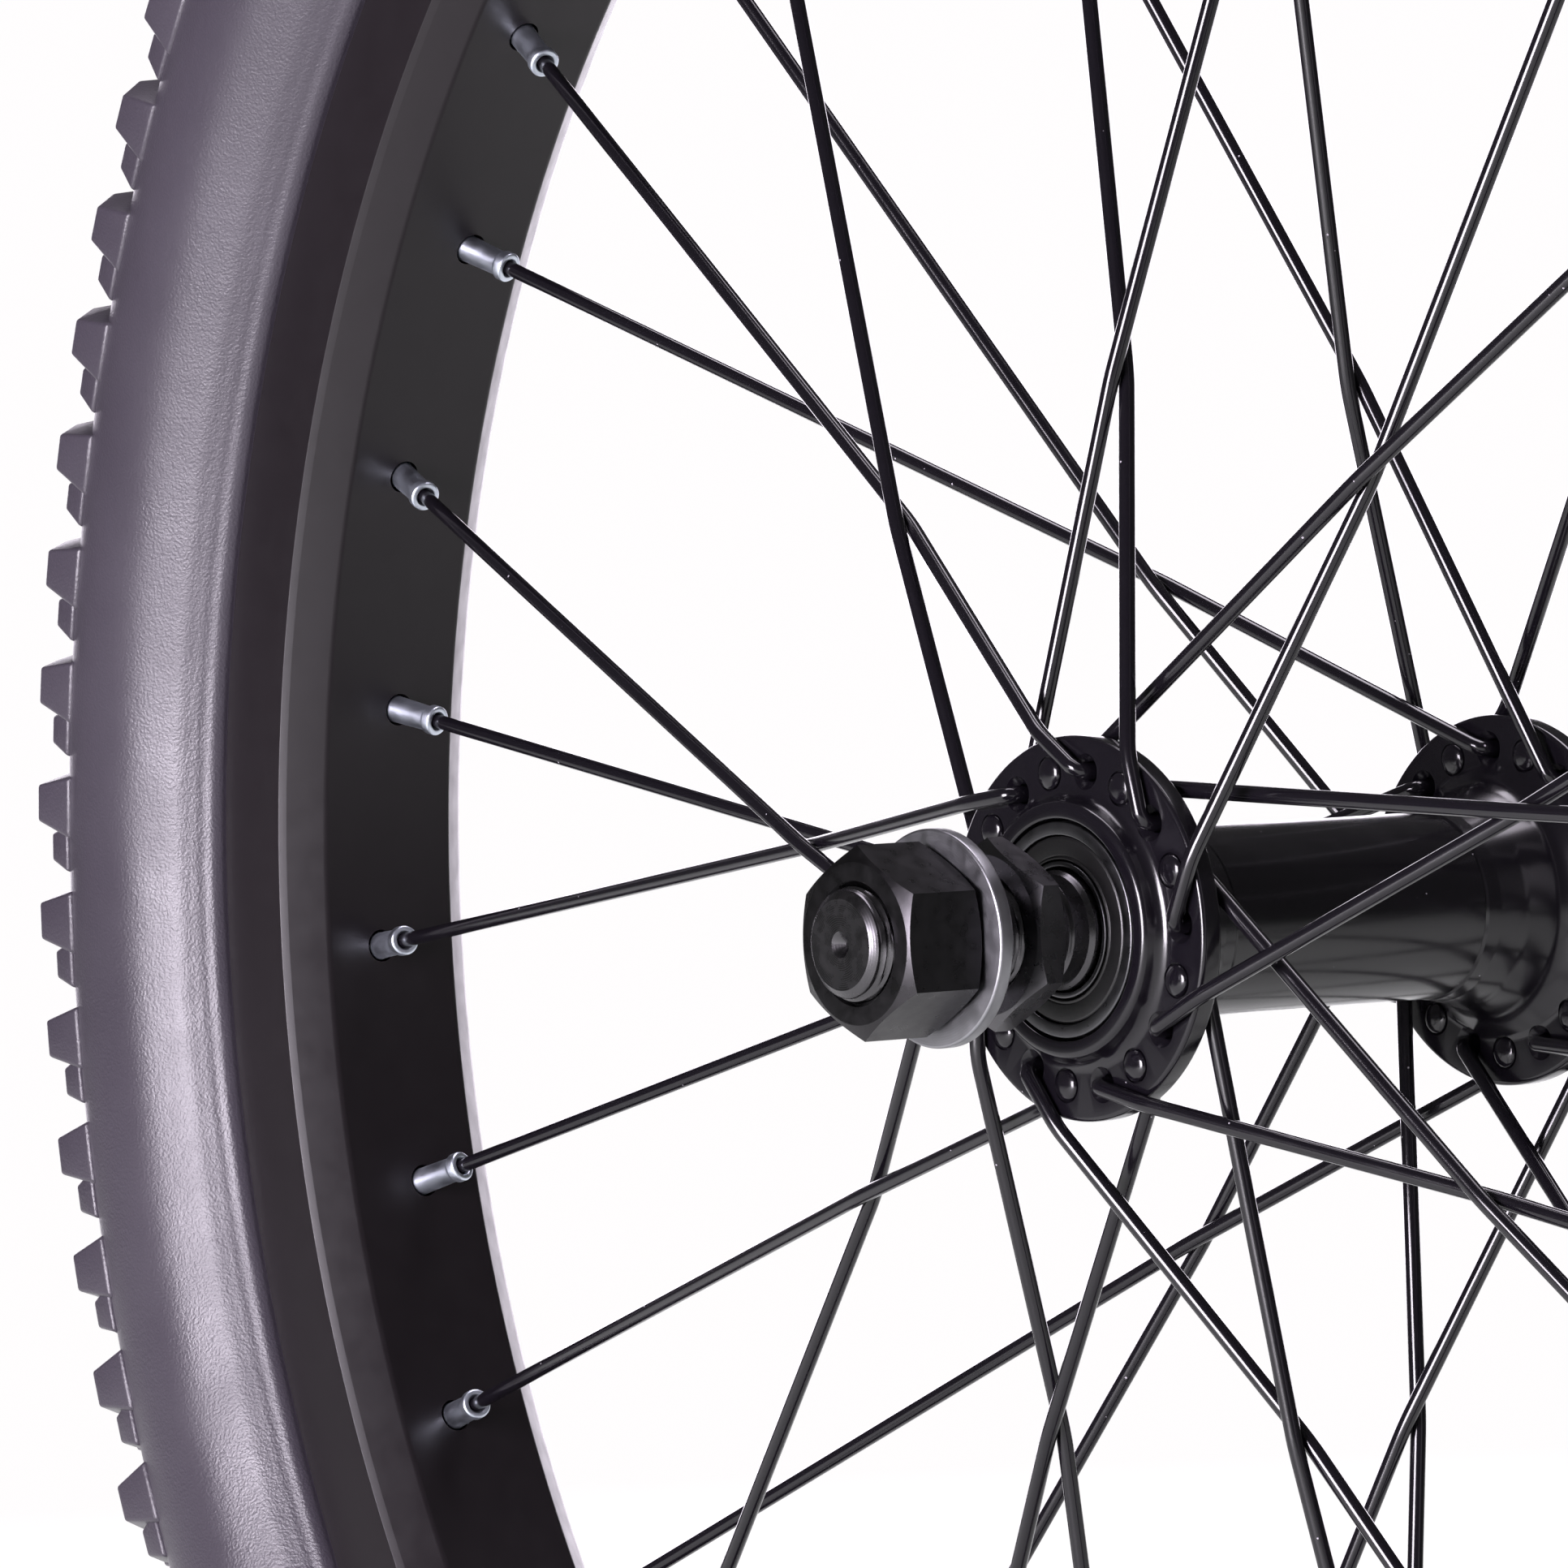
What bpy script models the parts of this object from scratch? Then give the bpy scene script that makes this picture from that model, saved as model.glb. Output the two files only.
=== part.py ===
"""A 20 inch BMX front wheel: tyre, tube, rim, 36 crossed spokes, sealed-bearing hub and axle.

The wheel's centre is the origin, it turns about Y and +Z is up. The left side is -Y.
Lengths are in metres. An angle round the wheel is counted from +X towards +Z.
"""

import math

import bmesh
import bpy
from mathutils import Matrix, Vector

# Clearances
GAP = 0.0003

# Tyre and rim, on a 406 mm bead seat
TYRE_RADIUS = 0.2540
TYRE_HALF_WIDTH = 0.0260
BEAD_SEAT_RADIUS = 0.2030
RIM_EDGE_RADIUS = 0.2090
RIM_HALF_WIDTH = 0.0156
RIM_FLOOR_RADIUS = 0.1914
RIM_FLOOR_HALF = 0.0105
RIM_FLOOR_THICKNESS = 0.0020
RIM_WALL_END_RADIUS = 0.1958
RIM_CHAMFER = 0.0008
RIM_WALL = 0.0017
STRIP_RADIUS = 0.1984
STRIP_THICKNESS = 0.0008
STRIP_HALF_WIDTH = 0.0068
TUBE_WALL = 0.0010

# Hub shell
FLANGE_OUTER_Y = 0.0359
FLANGE_THICKNESS = 0.0030
FLANGE_INNER_Y = FLANGE_OUTER_Y - FLANGE_THICKNESS
FLANGE_RADIUS = 0.0232
HOLE_CIRCLE_RADIUS = 0.0190
HUB_HOLE_RADIUS = 0.0016
HUB_END_Y = 0.0385
BARREL_RADIUS = 0.0115
BORE_RADIUS = 0.0095

# Bearings, 15 x 26 x 7
BEARING_OUTER_RADIUS = 0.0130
BEARING_BORE_RADIUS = 0.00755
BEARING_WIDTH = 0.0070
BEARING_MIDDLE_Y = HUB_END_Y - 0.0002 - BEARING_WIDTH / 2
RACE_LAND_DEPTH = 0.0012
BALL_COUNT = 9
BALL_RADIUS = 0.0016
BALL_CIRCLE_RADIUS = 0.0103

# Axle, 15 mm thick in the hub and 14 mm at its ends, for a fork that is 100 mm wide inside
AXLE_MIDDLE_RADIUS = 0.0084
AXLE_SEAT_RADIUS = 0.0072
AXLE_END_RADIUS = 0.0068
AXLE_SEAT_END_Y = 0.0415
AXLE_HALF_LENGTH = 0.0720
FORK_HALF_WIDTH = 0.0500
DROPOUT_SLOT = 0.0063
LOCK_NUT_HEIGHT = 0.0042
LOCK_NUT_ACROSS_FLATS = 0.0200
WASHER_RADIUS = 0.0130
WASHER_THICKNESS = 0.0020
NUT_HEIGHT = 0.0112
NUT_ACROSS_FLATS = 0.0200

# Spokes
SPOKES_PER_SIDE = 18
SPOKE_RADIUS = 0.0010
SPOKE_SIDES = 6
HEAD_RADIUS = 0.0019
HEAD_HEIGHT = 0.0012
ELBOW_RADIUS = 0.0015
CROSSED_ANGLE = math.radians(60)
LAST_CROSSING_ANGLE = math.radians(50)
LAST_CROSSING_Y = 0.0243
CROSSING_OFFSET = 0.00118
NIPPLE_SEAT_RADIUS = 0.1930
NIPPLE_SEAT_Y = 0.0013
NIPPLE_RADIUS = 0.0020
NIPPLE_BELOW_SEAT = 0.0094
NIPPLE_HEAD_FROM_SEAT = 0.0013
NIPPLE_HEAD_RADIUS = 0.0029
NIPPLE_HEAD_HEIGHT = 0.0022
RIM_HOLE_RADIUS = 0.0025

# Where the first hub hole stands at rest, and the valve between two spokes that lean apart
FIRST_HOLE_ANGLE = math.radians(1.3)
VALVE_ANGLE = FIRST_HOLE_ANGLE + math.radians(-85)
STEM_RADIUS = 0.00385
STEM_TIP_RADIUS = 0.1660

RIM_STEPS = 72
HUB_STEPS = 36
BEARING_STEPS = 20
SMALL_STEPS = 16


def clear_scene():
    for obj in list(bpy.data.objects):
        bpy.data.objects.remove(obj, do_unlink=True)


def paint(name, colour, roughness, metallic):
    material = bpy.data.materials.new(name)
    material.use_nodes = True
    shader = material.node_tree.nodes["Principled BSDF"]
    shader.inputs["Base Color"].default_value = (*colour, 1)
    shader.inputs["Roughness"].default_value = roughness
    shader.inputs["Metallic"].default_value = metallic
    return material


def finish(name, bm, material, placement=Matrix()):
    """Closes the bmesh into an object that stands at the placement."""
    bmesh.ops.remove_doubles(bm, verts=bm.verts, dist=0.000005)
    bmesh.ops.recalc_face_normals(bm, faces=bm.faces)
    mesh = bpy.data.meshes.new(name)
    bm.to_mesh(mesh)
    bm.free()
    mesh.shade_smooth()
    mesh.set_sharp_from_angle(angle=math.radians(35))
    mesh.materials.append(material)
    obj = bpy.data.objects.new(name, mesh)
    obj.matrix_world = placement
    bpy.context.scene.collection.objects.link(obj)
    return obj


def mirrored(half):
    """The closed outline of a piece that is the same on both sides, from its +Y half."""
    return half + [(radius, -y) for radius, y in reversed(half)]


def turned(name, outline, steps, material, first_angle=0.0, placement=Matrix(), closed=True):
    """Spins an outline of (radius, y) points about Y. A solid piece has an open outline from axis to axis."""
    bm = bmesh.new()
    turn = Matrix.Rotation(-first_angle, 3, "Y")
    points = [bm.verts.new(turn @ Vector((radius, y, 0))) for radius, y in outline]
    edges = [bm.edges.new(pair) for pair in zip(points, points[1:])]
    if closed:
        edges.append(bm.edges.new((points[-1], points[0])))
    bmesh.ops.spin(
        bm, geom=points + edges, cent=(0, 0, 0), axis=(0, 1, 0), angle=2 * math.pi, steps=steps, use_merge=True
    )
    return finish(name, bm, material, placement)


def round_the_wheel(angle):
    """The outward direction at an angle round the wheel."""
    return Vector((math.cos(angle), 0, math.sin(angle)))


def rod(bm, start, end, radius, sides):
    """Adds a closed prism from start to end."""
    run = end - start
    turn = Vector((0, 0, 1)).rotation_difference(run).to_matrix().to_4x4()
    place = Matrix.Translation((start + end) / 2) @ turn
    bmesh.ops.create_cone(
        bm, cap_ends=True, segments=sides, radius1=radius, radius2=radius, depth=run.length, matrix=place
    )


def hidden(obj):
    obj.hide_render = True
    obj.display_type = "WIRE"
    return obj


def cutter(name, rods, sides):
    """One hidden object made of prisms, given as (start, end, radius)."""
    bm = bmesh.new()
    for start, end, radius in rods:
        rod(bm, start, end, radius, sides)
    mesh = bpy.data.meshes.new(name)
    bm.to_mesh(mesh)
    bm.free()
    obj = bpy.data.objects.new(name, mesh)
    bpy.context.scene.collection.objects.link(obj)
    return hidden(obj)


def boolean(obj, other, operation):
    modifier = obj.modifiers.new(operation.lower(), "BOOLEAN")
    modifier.operation = operation
    modifier.object = other


def swept(name, stations, sides, material):
    """A round bar through stations of (centre, radius). Two stations at one place make a step."""
    centres = [centre for centre, _ in stations]
    legs = [after - before for before, after in zip(centres, centres[1:])]
    runs = [leg.normalized() for leg in legs if leg.length > 1e-7]
    bm = bmesh.new()
    across = runs[0].orthogonal().normalized()
    rings = []
    last = runs[0]
    for index, (centre, radius) in enumerate(stations):
        before = next((leg for leg in reversed(legs[:index]) if leg.length > 1e-7), runs[0])
        after = next((leg for leg in legs[index:] if leg.length > 1e-7), runs[-1])
        along = (before.normalized() + after.normalized()).normalized()
        across = last.rotation_difference(along) @ across
        last = along
        side = along.cross(across)
        ring = []
        for step in range(sides):
            angle = 2 * math.pi * step / sides
            ring.append(bm.verts.new(centre + radius * (math.cos(angle) * across + math.sin(angle) * side)))
        rings.append(ring)
    for lower, upper in zip(rings, rings[1:]):
        for step in range(sides):
            nearby = (step + 1) % sides
            bm.faces.new((lower[step], lower[nearby], upper[nearby], upper[step]))
    bm.faces.new(rings[0][::-1])
    bm.faces.new(rings[-1])
    return finish(name, bm, material)


class Spoke:
    """One spoke's places. An outer spoke has its head inside the flange and runs outside it."""

    def __init__(self, side, hub_angle, turn, outer):
        self.side = side
        self.outer = outer
        self.hub = HOLE_CIRCLE_RADIUS * round_the_wheel(hub_angle)
        seat = NIPPLE_SEAT_RADIUS * round_the_wheel(hub_angle + turn * CROSSED_ANGLE)
        self.across = (seat - self.hub).normalized()
        ray = round_the_wheel(hub_angle + turn * LAST_CROSSING_ANGLE)
        self.crossing_reach = self.hub.cross(ray).y / -self.across.cross(ray).y
        self.seat = seat + Vector((0, side * NIPPLE_SEAT_Y, 0))
        crossing_y = LAST_CROSSING_Y - CROSSING_OFFSET if outer else LAST_CROSSING_Y + CROSSING_OFFSET
        self.crossing = self.at(self.crossing_reach, crossing_y)
        self.along = (self.seat - self.crossing).normalized()

    def at(self, reach, y):
        """The point this far from the hub hole towards the rim, and y from the wheel's middle plane."""
        return self.hub + self.across * reach + Vector((0, self.side * y, 0))

    def elbow(self):
        """The bend from the hub hole to the flange's face, and where an outer spoke clears the flange's edge."""
        stand_off = SPOKE_RADIUS + GAP
        if self.outer:
            run_y = FLANGE_OUTER_Y + stand_off
            way = 1
        else:
            run_y = FLANGE_INNER_Y - stand_off
            way = -1
        start_y = run_y - way * ELBOW_RADIUS
        corner = ELBOW_RADIUS * math.tan(math.pi / 8)
        points = [self.at(0, start_y + way * corner), self.at(ELBOW_RADIUS - corner, run_y)]
        if self.outer:
            points.append(self.at(FLANGE_RADIUS - HOLE_CIRCLE_RADIUS + 0.0045, run_y - 0.0004))
        return points

    def stations(self):
        if self.outer:
            face, way = FLANGE_INNER_Y - GAP, -1
        else:
            face, way = FLANGE_OUTER_Y + GAP, 1
        head = [
            (self.at(0, face + way * HEAD_HEIGHT), HEAD_RADIUS * 0.8),
            (self.at(0, face), HEAD_RADIUS),
            (self.at(0, face), SPOKE_RADIUS),
        ]
        wire = [(point, SPOKE_RADIUS) for point in self.elbow() + [self.crossing]]
        tip = self.seat - NIPPLE_BELOW_SEAT * self.along
        shoulder = self.seat + NIPPLE_HEAD_FROM_SEAT * self.along
        nipple = [
            (tip, SPOKE_RADIUS),
            (tip, NIPPLE_RADIUS),
            (shoulder, NIPPLE_RADIUS),
            (shoulder, NIPPLE_HEAD_RADIUS),
            (shoulder + NIPPLE_HEAD_HEIGHT * self.along, NIPPLE_HEAD_RADIUS * 0.85),
        ]
        return head + wire + nipple

    def hub_hole(self):
        return self.at(0, FLANGE_INNER_Y - 0.001), self.at(0, FLANGE_OUTER_Y + 0.001), HUB_HOLE_RADIUS

    def rim_hole(self):
        start = self.seat - 0.004 * self.along
        return start, self.seat + 0.004 * self.along, RIM_HOLE_RADIUS


def lacing():
    """The 36 spokes by name. Each side has nine outer and nine inner spokes that lean opposite ways."""
    spokes = {}
    step = 2 * math.pi / SPOKES_PER_SIDE
    for label, side, shift, first_is_outer in (("left", -1, 0, True), ("right", 1, 0.5, False)):
        for index in range(SPOKES_PER_SIDE):
            angle = FIRST_HOLE_ANGLE + (index + shift) * step
            turn = 1 if index % 2 == 0 else -1
            outer = first_is_outer == (index % 2 == 0)
            spokes[f"spoke_{label}_{index + 1:02d}"] = Spoke(side, angle, turn, outer)
    return spokes


def valve_placement():
    """Local +Y is the outward direction at the valve, so a local y is a distance from the wheel's centre."""
    outward = round_the_wheel(VALVE_ANGLE)
    return Vector((0, 1, 0)).rotation_difference(outward).to_matrix().to_4x4()


def valve_hole(radius):
    """Goes through the rim's floor, the strip and the tube's foot."""
    outward = round_the_wheel(VALVE_ANGLE)
    return [(outward * (RIM_FLOOR_RADIUS - 0.005), outward * (STRIP_RADIUS + 0.005), radius)]


def build_tyre(rubber):
    bead_y = RIM_HALF_WIDTH - RIM_WALL - GAP
    casing = [
        (BEAD_SEAT_RADIUS + GAP, bead_y),
        (RIM_EDGE_RADIUS + GAP, bead_y),
        (RIM_EDGE_RADIUS + GAP, RIM_HALF_WIDTH + 0.0006),
        (0.2150, 0.0216),
        (0.2280, TYRE_HALF_WIDTH),
        (0.2430, 0.0247),
        (TYRE_RADIUS, 0.0080),
    ]
    lining = [
        (BEAD_SEAT_RADIUS + GAP, bead_y - 0.0032),
        (RIM_EDGE_RADIUS + 0.0008, bead_y - 0.0022),
        (0.2150, 0.0182),
        (0.2280, 0.0226),
        (0.2430, 0.0195),
        (TYRE_RADIUS - 0.0038, 0.0070),
    ]
    first = FIRST_HOLE_ANGLE + math.pi / RIM_STEPS
    turned("tyre", mirrored(casing) + mirrored(lining)[::-1], RIM_STEPS, rubber, first)


def build_tube(rubber, valve_cutter):
    """The tube hangs in the tyre with its foot on the rim strip, and is open only at the valve."""
    foot = STRIP_RADIUS + STRIP_THICKNESS + GAP
    outside = [(foot, 0.0063), (0.2095, 0.0096), (0.2200, 0.0182), (0.2370, 0.0190), (0.2475, 0.0070)]
    inside = [(foot + TUBE_WALL, 0.0054), (0.2095, 0.0083), (0.2200, 0.0167), (0.2365, 0.0175), (0.2462, 0.0063)]
    first = FIRST_HOLE_ANGLE + math.pi / HUB_STEPS
    tube = turned("inner_tube", mirrored(outside), HUB_STEPS, rubber, first)
    air = hidden(turned("inner_tube_air", mirrored(inside), HUB_STEPS, rubber, first))
    boolean(tube, air, "DIFFERENCE")
    boolean(tube, valve_cutter, "DIFFERENCE")


def build_rim(paint_black, tape, spokes, valve_cutter):
    """A single wall rim with a well for the nipples' heads, drilled for every spoke and the valve."""
    wall_inside = RIM_HALF_WIDTH - RIM_WALL
    half = [
        (RIM_FLOOR_RADIUS, RIM_FLOOR_HALF),
        (RIM_WALL_END_RADIUS - RIM_CHAMFER, RIM_HALF_WIDTH - RIM_CHAMFER),
        (RIM_WALL_END_RADIUS, RIM_HALF_WIDTH),
        (RIM_EDGE_RADIUS, RIM_HALF_WIDTH),
        (RIM_EDGE_RADIUS, wall_inside),
        (BEAD_SEAT_RADIUS, wall_inside),
        (BEAD_SEAT_RADIUS - 0.0004, 0.0095),
        (RIM_FLOOR_RADIUS + RIM_FLOOR_THICKNESS, 0.0060),
    ]
    rim = turned("rim", mirrored(half), RIM_STEPS, paint_black, FIRST_HOLE_ANGLE + math.pi / RIM_STEPS)
    drill = cutter("rim_drill", [spoke.rim_hole() for spoke in spokes], 6)
    boolean(rim, drill, "DIFFERENCE")
    boolean(rim, valve_cutter, "DIFFERENCE")

    outline = mirrored([(STRIP_RADIUS, STRIP_HALF_WIDTH), (STRIP_RADIUS + STRIP_THICKNESS, STRIP_HALF_WIDTH)][::-1])
    strip = turned("rim_strip", outline, HUB_STEPS, tape, FIRST_HOLE_ANGLE + math.pi / HUB_STEPS)
    boolean(strip, valve_cutter, "DIFFERENCE")


def build_valve(brass, plastic):
    placement = valve_placement()
    foot = STRIP_RADIUS + STRIP_THICKNESS + GAP + TUBE_WALL + 0.0007
    cap_end = STEM_TIP_RADIUS + 0.0072
    stem = [
        (0, foot + 0.0008),
        (0.0050, foot + 0.0008),
        (0.0050, foot),
        (STEM_RADIUS, foot),
        (STEM_RADIUS, STEM_TIP_RADIUS + 0.0006),
        (STEM_RADIUS - 0.0006, STEM_TIP_RADIUS),
        (0, STEM_TIP_RADIUS),
    ]
    cap_outside = STEM_RADIUS + 0.0012
    cap = [
        (0, STEM_TIP_RADIUS - GAP),
        (STEM_RADIUS + GAP, STEM_TIP_RADIUS - GAP),
        (STEM_RADIUS + GAP, cap_end),
        (cap_outside, cap_end),
        (cap_outside, STEM_TIP_RADIUS - 0.0018),
        (cap_outside - 0.0008, STEM_TIP_RADIUS - 0.0026),
        (0, STEM_TIP_RADIUS - 0.0026),
    ]
    turned("valve_stem", stem, SMALL_STEPS, brass, placement=placement, closed=False)
    turned("valve_cap", cap, SMALL_STEPS, plastic, placement=placement, closed=False)


def build_hub(paint_black, spokes):
    """The shell: a slim waist that flares into two drilled flanges, with a seat for a bearing at each end."""
    bearing_seat = BEARING_OUTER_RADIUS + GAP
    shoulder_y = BEARING_MIDDLE_Y - BEARING_WIDTH / 2 - GAP
    half = [
        (BARREL_RADIUS, 0.0110),
        (BARREL_RADIUS + 0.0006, 0.0206),
        (0.0138, 0.0285),
        (0.0162, FLANGE_INNER_Y),
        (FLANGE_RADIUS - 0.0006, FLANGE_INNER_Y),
        (FLANGE_RADIUS, FLANGE_INNER_Y + 0.0006),
        (FLANGE_RADIUS, FLANGE_OUTER_Y - 0.0009),
        (0.0222, FLANGE_OUTER_Y),
        (0.0172, FLANGE_OUTER_Y),
        (0.0150, FLANGE_OUTER_Y + 0.0009),
        (0.0143, HUB_END_Y),
        (bearing_seat, HUB_END_Y),
        (bearing_seat, shoulder_y),
        (BORE_RADIUS, shoulder_y),
    ]
    shell = turned("hub_shell", mirrored(half), HUB_STEPS, paint_black, FIRST_HOLE_ANGLE + math.pi / HUB_STEPS)
    boolean(shell, cutter("hub_drill", [spoke.hub_hole() for spoke in spokes], 6), "DIFFERENCE")


def build_bearing(label, side, steel, rubber):
    """A sealed bearing: two grooved races, nine balls on a ring, and a seal at each face."""
    middle = Matrix.Translation((0, side * BEARING_MIDDLE_Y, 0))
    half_width = BEARING_WIDTH / 2
    outer_land = BEARING_OUTER_RADIUS - 0.0016
    inner_land = BEARING_BORE_RADIUS + 0.0013
    groove_y = 0.0010
    outer_race = [
        (BEARING_OUTER_RADIUS, half_width),
        (outer_land, half_width),
        (outer_land, half_width - RACE_LAND_DEPTH),
        (BALL_CIRCLE_RADIUS + BALL_RADIUS + GAP + 0.0001, groove_y),
    ]
    inner_race = [
        (BEARING_BORE_RADIUS, half_width),
        (inner_land, half_width),
        (inner_land, half_width - RACE_LAND_DEPTH),
        (BALL_CIRCLE_RADIUS - BALL_RADIUS - GAP, groove_y),
    ]
    turned(f"bearing_outer_race_{label}", mirrored(outer_race), BEARING_STEPS, steel, placement=middle)
    turned(f"bearing_inner_race_{label}", mirrored(inner_race), BEARING_STEPS, steel, placement=middle)

    band = mirrored([(BALL_CIRCLE_RADIUS - 0.0004, 0.0005), (BALL_CIRCLE_RADIUS + 0.0004, 0.0005)])
    cage = turned(f"bearing_cage_{label}", band, BEARING_STEPS, steel, placement=middle)
    bm = bmesh.new()
    for index in range(BALL_COUNT):
        centre = BALL_CIRCLE_RADIUS * round_the_wheel(2 * math.pi * index / BALL_COUNT)
        bmesh.ops.create_uvsphere(
            bm, u_segments=8, v_segments=4, radius=BALL_RADIUS, matrix=Matrix.Translation(centre)
        )
    balls = hidden(finish(f"bearing_balls_{label}", bm, steel, middle))
    boolean(cage, balls, "UNION")

    seal = [(inner_land + GAP, 0.0007), (outer_land - 2 * GAP, 0.0007), (outer_land - 2 * GAP, 0), (inner_land + GAP, 0)]
    for face, way in (("inside", -side), ("outside", side)):
        outline = [(radius, way * (half_width - 0.0009 + y)) for radius, y in seal]
        turned(f"bearing_seal_{label}_{face}", outline, BEARING_STEPS, rubber, placement=middle)


def hex_nut(name, inner_y, height, across_flats, side, material, bore_cutter):
    bm = bmesh.new()
    corner_radius = across_flats / 2 / math.cos(math.pi / 6)
    rod(bm, Vector((0, side * inner_y, 0)), Vector((0, side * (inner_y + height), 0)), corner_radius, 6)
    boolean(finish(name, bm, material), bore_cutter, "DIFFERENCE")


def build_axle(steel, chrome, nut_steel):
    half = [
        (0, AXLE_HALF_LENGTH),
        (AXLE_END_RADIUS - 0.0010, AXLE_HALF_LENGTH),
        (AXLE_END_RADIUS, AXLE_HALF_LENGTH - 0.0010),
        (AXLE_END_RADIUS, AXLE_SEAT_END_Y),
        (AXLE_SEAT_RADIUS, AXLE_SEAT_END_Y - 0.0004),
        (AXLE_SEAT_RADIUS, BEARING_MIDDLE_Y - BEARING_WIDTH / 2 - GAP),
        (AXLE_MIDDLE_RADIUS, BEARING_MIDDLE_Y - BEARING_WIDTH / 2 - GAP),
    ]
    turned("axle", mirrored(half), BEARING_STEPS, steel, closed=False)

    reach = Vector((0, AXLE_HALF_LENGTH + 0.01, 0))
    bore_cutter = cutter("axle_bore", [(-reach, reach, AXLE_END_RADIUS + GAP)], BEARING_STEPS)
    washer_y = FORK_HALF_WIDTH + DROPOUT_SLOT
    nut_y = washer_y + WASHER_THICKNESS + GAP
    for label, side in (("left", -1), ("right", 1)):
        lock_y = FORK_HALF_WIDTH - LOCK_NUT_HEIGHT
        hex_nut(f"lock_nut_{label}", lock_y, LOCK_NUT_HEIGHT, LOCK_NUT_ACROSS_FLATS, side, steel, bore_cutter)
        hex_nut(f"axle_nut_{label}", nut_y, NUT_HEIGHT, NUT_ACROSS_FLATS, side, nut_steel, bore_cutter)
        outline = [
            (AXLE_END_RADIUS + GAP, side * washer_y),
            (WASHER_RADIUS, side * washer_y),
            (WASHER_RADIUS, side * (washer_y + WASHER_THICKNESS)),
            (AXLE_END_RADIUS + GAP, side * (washer_y + WASHER_THICKNESS)),
        ]
        turned(f"washer_{label}", outline, BEARING_STEPS, chrome)


def main():
    clear_scene()
    rubber = paint("black rubber", (0.030, 0.028, 0.033), 0.65, 0.0)
    butyl = paint("butyl rubber", (0.020, 0.020, 0.020), 0.55, 0.0)
    satin_black = paint("satin black anodised rim", (0.030, 0.026, 0.028), 0.35, 0.6)
    gloss_black = paint("gloss black hub", (0.012, 0.012, 0.014), 0.18, 0.3)
    spoke_black = paint("black spoke with a nickel nipple", (0.020, 0.020, 0.022), 0.25, 0.5)
    race_steel = paint("ground bearing steel", (0.42, 0.42, 0.43), 0.35, 1.0)
    axle_steel = paint("dark axle steel", (0.10, 0.10, 0.11), 0.30, 0.9)
    nut_steel = paint("black nut steel", (0.05, 0.05, 0.05), 0.35, 0.8)
    zinc = paint("zinc plated washer", (0.60, 0.60, 0.62), 0.35, 1.0)
    brass = paint("valve brass", (0.45, 0.36, 0.20), 0.35, 1.0)
    plastic = paint("black plastic cap", (0.02, 0.02, 0.02), 0.45, 0.0)

    spokes = lacing()
    valve_cutter = cutter("valve_drill", valve_hole(STEM_RADIUS + GAP + 0.0001), SMALL_STEPS)
    build_tyre(rubber)
    build_tube(butyl, valve_cutter)
    build_rim(satin_black, butyl, spokes.values(), valve_cutter)
    build_valve(brass, plastic)
    build_hub(gloss_black, spokes.values())
    for name, spoke in spokes.items():
        swept(name, spoke.stations(), SPOKE_SIDES, spoke_black)
    for label, side in (("left", -1), ("right", 1)):
        build_bearing(label, side, race_steel, butyl)
    build_axle(axle_steel, zinc, nut_steel)


main()
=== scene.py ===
"""The looks of a 20 inch BMX front wheel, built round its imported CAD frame.

The wheel's centre is the origin, it turns about Y and +Z is up. The left side is -Y.
An angle round the wheel is counted from +X towards +Z.
Lengths are in metres, and those in an outline, a profile or a section are in mm.
"""

import math

import bmesh
import bpy
from mathutils import Matrix, Vector


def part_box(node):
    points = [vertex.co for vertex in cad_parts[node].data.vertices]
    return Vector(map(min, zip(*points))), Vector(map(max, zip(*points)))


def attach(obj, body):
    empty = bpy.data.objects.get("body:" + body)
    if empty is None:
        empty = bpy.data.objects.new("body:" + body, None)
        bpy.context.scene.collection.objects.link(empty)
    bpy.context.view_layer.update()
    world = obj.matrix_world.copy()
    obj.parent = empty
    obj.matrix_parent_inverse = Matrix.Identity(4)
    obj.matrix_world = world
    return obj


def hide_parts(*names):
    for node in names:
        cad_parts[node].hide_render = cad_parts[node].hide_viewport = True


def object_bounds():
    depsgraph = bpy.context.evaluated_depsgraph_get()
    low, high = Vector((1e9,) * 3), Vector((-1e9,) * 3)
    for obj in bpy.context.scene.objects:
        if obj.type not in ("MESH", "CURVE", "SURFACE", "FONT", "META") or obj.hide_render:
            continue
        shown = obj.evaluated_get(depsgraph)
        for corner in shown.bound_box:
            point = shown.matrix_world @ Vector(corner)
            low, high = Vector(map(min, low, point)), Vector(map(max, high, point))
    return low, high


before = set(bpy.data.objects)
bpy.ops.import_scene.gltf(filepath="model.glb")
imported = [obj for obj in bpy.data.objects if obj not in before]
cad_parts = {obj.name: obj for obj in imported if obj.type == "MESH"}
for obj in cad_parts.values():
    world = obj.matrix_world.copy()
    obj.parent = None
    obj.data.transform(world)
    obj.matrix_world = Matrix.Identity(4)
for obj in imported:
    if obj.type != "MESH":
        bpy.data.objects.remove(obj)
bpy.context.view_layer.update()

MM = 0.001

# Sizes that the frame gives
RIM_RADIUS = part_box("rim")[1][2]
RIM_HALF_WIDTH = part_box("rim")[1][1]
HUB_END_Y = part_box("hub_shell")[1][1]
FLANGE_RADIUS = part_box("hub_shell")[1][2]
AXLE_END_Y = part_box("axle")[1][1]

# The gap between pieces that touch on a real wheel
FIT = 0.3 * MM

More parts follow.
